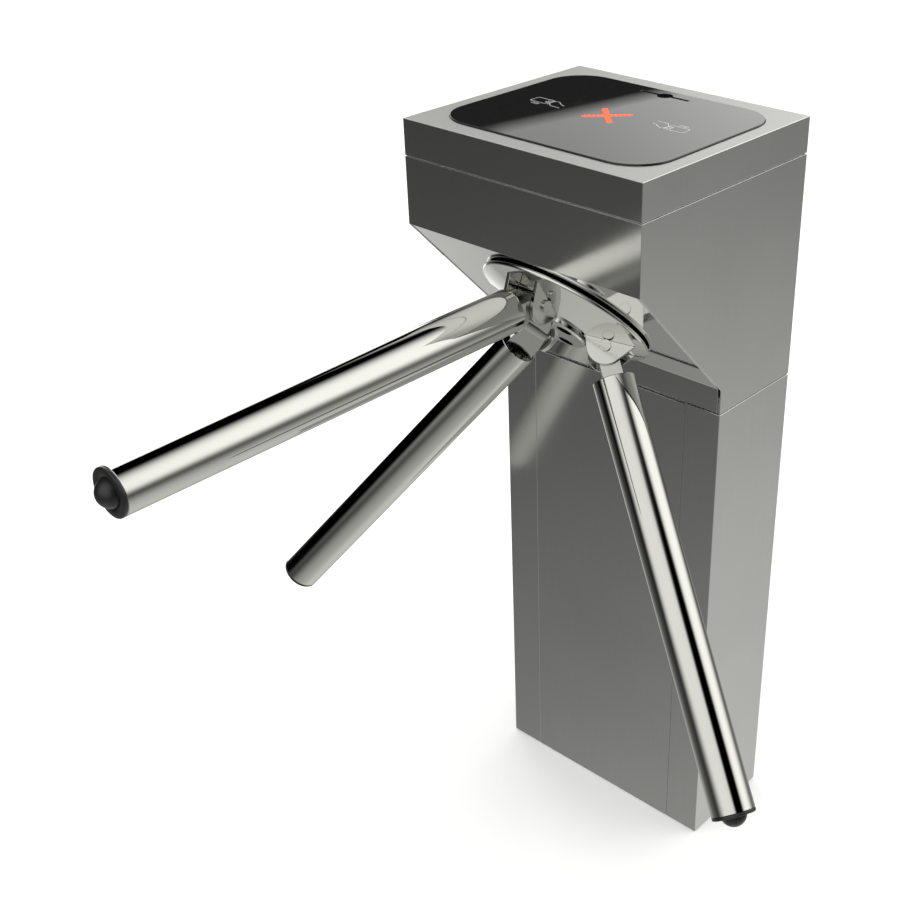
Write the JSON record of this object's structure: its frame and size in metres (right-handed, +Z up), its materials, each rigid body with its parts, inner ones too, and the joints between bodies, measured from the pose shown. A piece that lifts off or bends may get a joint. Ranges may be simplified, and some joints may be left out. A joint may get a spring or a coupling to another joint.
{
  "type": "visitor counter turnstile",
  "caption": "Pedestal tripod turnstile with a sloping hub, folding tubular arms, a glass reader panel with a lit cross and a ticket slot, and a brushed steel casing.",
  "frame": {"origin": "middle of the floor anchor pattern, on the underside of the base plate", "axes": "+Z up, the arms and the sloping hub face -Y, +X to the right of someone looking along +Y"},
  "size_m": [0.7981, 0.8465, 1.0018],
  "materials": {
    "casing_steel": "fine brushed stainless sheet",
    "slope_steel": "satin stainless sheet",
    "hub_chrome": "polished",
    "arm_steel": "polished stainless tube",
    "arm_fitting": "machined and polished",
    "cap_plastic": "moulded black",
    "screw_black": "black oxide",
    "smoked_glass": "back-printed, polished",
    "gasket_rubber": "matt",
    "lamp_red": "translucent, lit",
    "board_green": "solder mask",
    "zinc_sheet": "zinc plated sheet",
    "power_box": "ventilated box",
    "dark_casting": "dark anodised",
    "ground_steel": "ground",
    "yellow_metal": "machined",
    "coil_wrap": "coil tape",
    "flap_plastic": "moulded"
  },
  "bodies": {
    "root": {"lid_cover": "casing_steel", "reader_glass": "smoked_glass", "glass_gasket": "gasket_rubber", "lid_tray": "zinc_sheet", "cross_light": "lamp_red", "display_board": "board_green", "entry_reader_board": "board_green", "exit_reader_board": "board_green", "card_chute": "zinc_sheet", "flap_servo": "power_box", "card_bin": "zinc_sheet", "head_casing": "casing_steel", "slope_plate": "slope_steel", "neck_frame": "zinc_sheet", "pedestal_casing": "casing_steel", "front_panel": "casing_steel", "base_plate": "zinc_sheet", "cable_grommet": "cap_plastic", "power_supply": "power_box", "control_board": "board_green", "front_mech_plate": "zinc_sheet", "rear_mech_plate": "zinc_sheet", "plate_posts": "zinc_sheet", "front_housing": "dark_casting", "rear_housing": "dark_casting", "front_bearing": "ground_steel", "rear_bearing": "ground_steel", "index_block": "zinc_sheet", "index_spring": "ground_steel", "pawl_pivots": "ground_steel", "entry_solenoid": "coil_wrap", "exit_solenoid": "coil_wrap", "damper": "dark_casting", "encoder_sensor": "board_green"},
    "hub": {"hub_disc": "hub_chrome", "hub_screws": "screw_black", "spindle": "ground_steel", "index_wheel": "yellow_metal", "lock_wheel": "ground_steel", "spindle_gear": "yellow_metal", "encoder_disc": "dark_casting", "arm_lugs": "hub_chrome", "arm_pins": "hub_chrome"},
    "arm_1": {"arm_1_root": "arm_fitting", "arm_1_tube": "arm_steel", "arm_1_cap": "cap_plastic"},
    "arm_2": {"arm_2_root": "arm_fitting", "arm_2_tube": "arm_steel", "arm_2_cap": "cap_plastic"},
    "arm_3": {"arm_3_root": "arm_fitting", "arm_3_tube": "arm_steel", "arm_3_cap": "cap_plastic"},
    "damper_pinion": {"damper_pinion": "yellow_metal"},
    "entry_pawl": {"entry_pawl": "yellow_metal"},
    "exit_pawl": {"exit_pawl": "yellow_metal"},
    "entry_plunger": {"entry_plunger": "ground_steel"},
    "exit_plunger": {"exit_plunger": "ground_steel"},
    "card_flap": {"card_flap": "flap_plastic"}
  },
  "joints": [
    {"name": "hub_spin", "type": "hinge", "parent": "root", "child": "hub", "pos_m": [0, -0.15246, 0.78632], "axis": [0, -0.7219, -0.692], "continuous": true, "deforming": ["index_spring"]},
    {"name": "arm_1_drop", "type": "hinge", "parent": "hub", "child": "arm_1", "pos_m": [-0.00212, -0.21368, 0.81624], "axis": [0.9995, -0.0229, 0.0239], "range_deg": [0, 85]},
    {"name": "arm_2_drop", "type": "hinge", "parent": "hub", "child": "arm_2", "pos_m": [-0.05433, -0.14602, 0.74565], "axis": [-0.5284, -0.5875, 0.6129], "range_deg": [0, 43]},
    {"name": "arm_3_drop", "type": "hinge", "parent": "hub", "child": "arm_3", "pos_m": [0.05646, -0.14856, 0.7483], "axis": [-0.471, 0.6104, -0.6368], "range_deg": [0, 43]},
    {"name": "damper_pinion_spin", "type": "hinge", "parent": "root", "child": "damper_pinion", "pos_m": [0, -0.04596, 0.80529], "axis": [0, -0.7219, -0.692], "continuous": true},
    {"name": "entry_pawl_turn", "type": "hinge", "parent": "root", "child": "entry_pawl", "pos_m": [-0.058, -0.11763, 0.86126], "axis": [0, -0.7219, -0.692], "range_deg": [0, 12], "stiffness_Nm_per_rad": 0.1, "springref_deg": -20.05},
    {"name": "entry_plunger_slide", "type": "slide", "parent": "root", "child": "entry_plunger", "axis": [-1, 0, 0], "range_m": [0, 0.0063]},
    {"name": "exit_pawl_turn", "type": "hinge", "parent": "root", "child": "exit_pawl", "pos_m": [0.058, -0.11763, 0.86126], "axis": [0, 0.7219, 0.692], "range_deg": [0, 12], "stiffness_Nm_per_rad": 0.1, "springref_deg": -20.05},
    {"name": "exit_plunger_slide", "type": "slide", "parent": "root", "child": "exit_plunger", "axis": [1, 0, 0], "range_m": [0, 0.0063]},
    {"name": "card_flap_turn", "type": "hinge", "parent": "root", "child": "card_flap", "pos_m": [0, 0.027, 0.905], "axis": [1, 0, 0], "range_deg": [0, 80]}
  ],
  "couplings": [
    {"joint": "damper_pinion_spin", "follows": "hub_spin", "ratio": -2},
    {"joint": "entry_plunger_slide", "follows": "entry_pawl_turn", "m_per_rad": 0.0298},
    {"joint": "exit_plunger_slide", "follows": "exit_pawl_turn", "m_per_rad": 0.0298}
  ]
}
